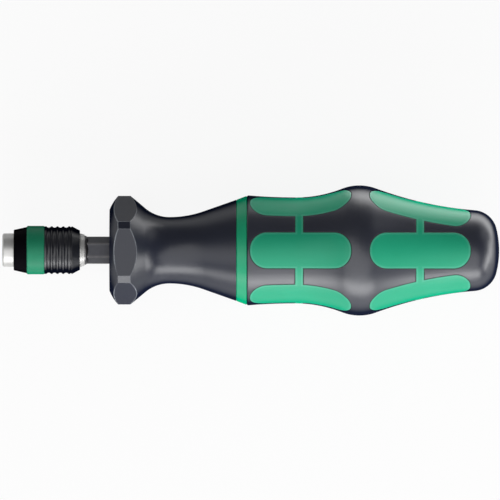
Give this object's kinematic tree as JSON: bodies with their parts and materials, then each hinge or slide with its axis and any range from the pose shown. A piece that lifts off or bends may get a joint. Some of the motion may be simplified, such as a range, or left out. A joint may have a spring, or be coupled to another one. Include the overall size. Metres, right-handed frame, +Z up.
{
  "type": "torque screwdriver",
  "caption": "Torque-limiting screwdriver: two-component handle holding a slipping ball clutch, hexagonal anti-roll collar and quick-release chuck for hexagon bits.",
  "frame": {"origin": "under the middle of the tool, on the surface that it lies on", "axes": "+X towards the end of the handle, -X towards the mouth of the bit socket, +Z up from the surface; the tool's own axis rises 3.8 degrees towards +X, as the tool comes to rest on one flat of its collar and on the bulge of its handle"},
  "size_m": [0.1342, 0.0352, 0.0351],
  "materials": {
    "hard_black": "hard black plastic with a satin gloss",
    "soft_green": "soft green plastic, matt",
    "ring_green": "hard green plastic, satin",
    "sleeve_black": "black anodised metal, satin",
    "sleeve_ring_green": "green anodised ring, satin",
    "bright_steel": "turned steel, nickel plated",
    "black_steel": "blackened steel bar",
    "plain_steel": "machined steel, oiled",
    "spring_steel": "drawn spring wire",
    "ball_steel": "hardened steel balls, polished",
    "bronze": "sintered bronze, oiled",
    "magnet": "nickel plated magnet"
  },
  "bodies": {
    "handle": {"front_shell": "hard_black", "accent_ring": "ring_green", "handle_core": "hard_black", "front_soft_pads": "soft_green", "rear_soft_pads": "soft_green", "end_plug": "hard_black", "clutch_housing": "plain_steel", "front_bush": "bronze", "rear_bush": "bronze", "thrust_washer": "bronze", "ball_cage": "bronze", "housing_cap": "plain_steel", "main_spring": "spring_steel"},
    "drive": {"output_spindle": "plain_steel", "cross_pin": "plain_steel", "spindle_circlip": "spring_steel", "drive_cam": "plain_steel", "hex_shank": "black_steel", "bit_magnet": "magnet", "chuck_body": "bright_steel", "body_circlip": "spring_steel", "sleeve_spring": "spring_steel"},
    "sleeve_slider": {"spring_washer": "plain_steel"},
    "sleeve": {"sleeve_cone": "sleeve_black", "colour_ring": "sleeve_ring_green", "grip_sleeve": "sleeve_black"},
    "lock_ball": {"locking_ball": "ball_steel"},
    "clutch_plate": {"pressure_plate": "plain_steel", "clutch_balls": "ball_steel"},
    "torque_screw": {"torque_screw": "plain_steel"},
    "spring_seat": {"spring_seat": "plain_steel"}
  },
  "joints": [
    {"name": "clutch_slip", "type": "hinge", "parent": "handle", "child": "drive", "pos_m": [-0.06679, 0, 0.01122], "axis": [0.9978, 0, 0.0659], "continuous": true},
    {"name": "sleeve_release", "type": "slide", "parent": "drive", "child": "sleeve_slider", "axis": [-0.9978, 0, -0.0659], "range_m": [0, 0.0022], "stiffness_N_per_m": 1500, "springref_m": -0.003, "deforming": ["sleeve_spring"]},
    {"name": "sleeve_spin", "type": "hinge", "parent": "sleeve_slider", "child": "sleeve", "pos_m": [-0.06679, 0, 0.01122], "axis": [0.9978, 0, 0.0659], "continuous": true},
    {"name": "ball_release", "type": "slide", "parent": "drive", "child": "lock_ball", "axis": [0.0659, -0.0436, -0.9969], "range_m": [0, 0.00055]},
    {"name": "plate_lift", "type": "slide", "parent": "handle", "child": "clutch_plate", "axis": [0.9978, 0, 0.0659], "range_m": [0, 0.00065], "stiffness_N_per_m": 24000, "springref_m": -0.011, "deforming": ["main_spring"]},
    {"name": "torque_setting", "type": "hinge", "parent": "handle", "child": "torque_screw", "pos_m": [0.03874, 0, 0.01819], "axis": [-0.9978, 0, -0.0659], "range_deg": [-541, 721]},
    {"name": "seat_travel", "type": "slide", "parent": "handle", "child": "spring_seat", "axis": [-0.9978, 0, -0.0659], "range_m": [-0.0015, 0.002], "deforming": ["main_spring"]}
  ],
  "couplings": [
    {"joint": "ball_release", "follows": "sleeve_release", "ratio": 0.25},
    {"joint": "torque_setting", "follows": "seat_travel", "rad_per_m": 6283.2}
  ]
}
